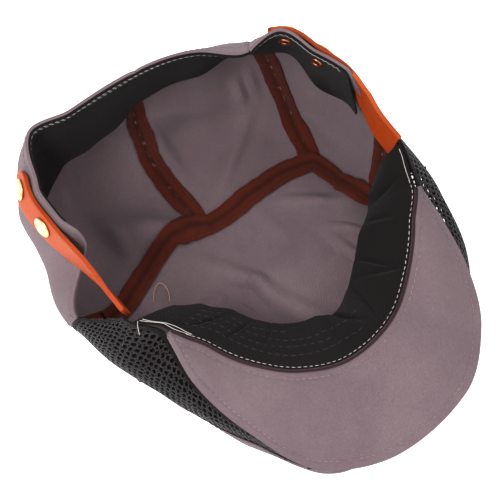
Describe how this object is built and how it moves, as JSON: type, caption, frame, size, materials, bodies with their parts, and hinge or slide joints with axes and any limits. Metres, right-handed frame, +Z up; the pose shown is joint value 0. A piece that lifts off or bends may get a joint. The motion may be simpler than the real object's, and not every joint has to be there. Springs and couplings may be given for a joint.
{
  "type": "work cap",
  "caption": "Soft flat work cap lying upside-down on its crown, with a short peak, net side panels, sweatbands, bound seams and two riveted side straps.",
  "frame": {"origin": "the middle of the flat crown, on the surface that the cap lies on", "axes": "+Z up out of the open cap, -Y towards the peak, +X to the right of a viewer who faces the peak"},
  "size_m": [0.2109, 0.2394, 0.0997],
  "materials": {
    "twill": "grey-mauve cotton twill, matt",
    "net": "black knitted net with irregular six-sided holes",
    "band": "black ribbed sweatband, matt",
    "tape": "dark red-brown seam binding, matt",
    "leather": "orange-tan leather, satin, vivid on its raw side",
    "brass": "polished, slightly worn"
  },
  "bodies": {
    "root": {"front_panel": "twill", "rear_centre_panel": "twill", "rear_left_panel": "twill", "rear_right_panel": "twill", "peak": "twill", "mesh_panel_left": "net", "mesh_panel_right": "net", "sweatband_front": "band", "sweatband_rear": "band", "seam_tape_cross": "tape", "seam_tape_rear_left": "tape", "seam_tape_rear_right": "tape", "seam_tape_notch_left": "tape", "seam_tape_notch_right": "tape", "strap_left": "leather", "strap_right": "leather", "rivet_left_rear": "brass", "rivet_left_front": "brass", "rivet_right_rear": "brass", "rivet_right_front": "brass"}
  },
  "joints": []
}
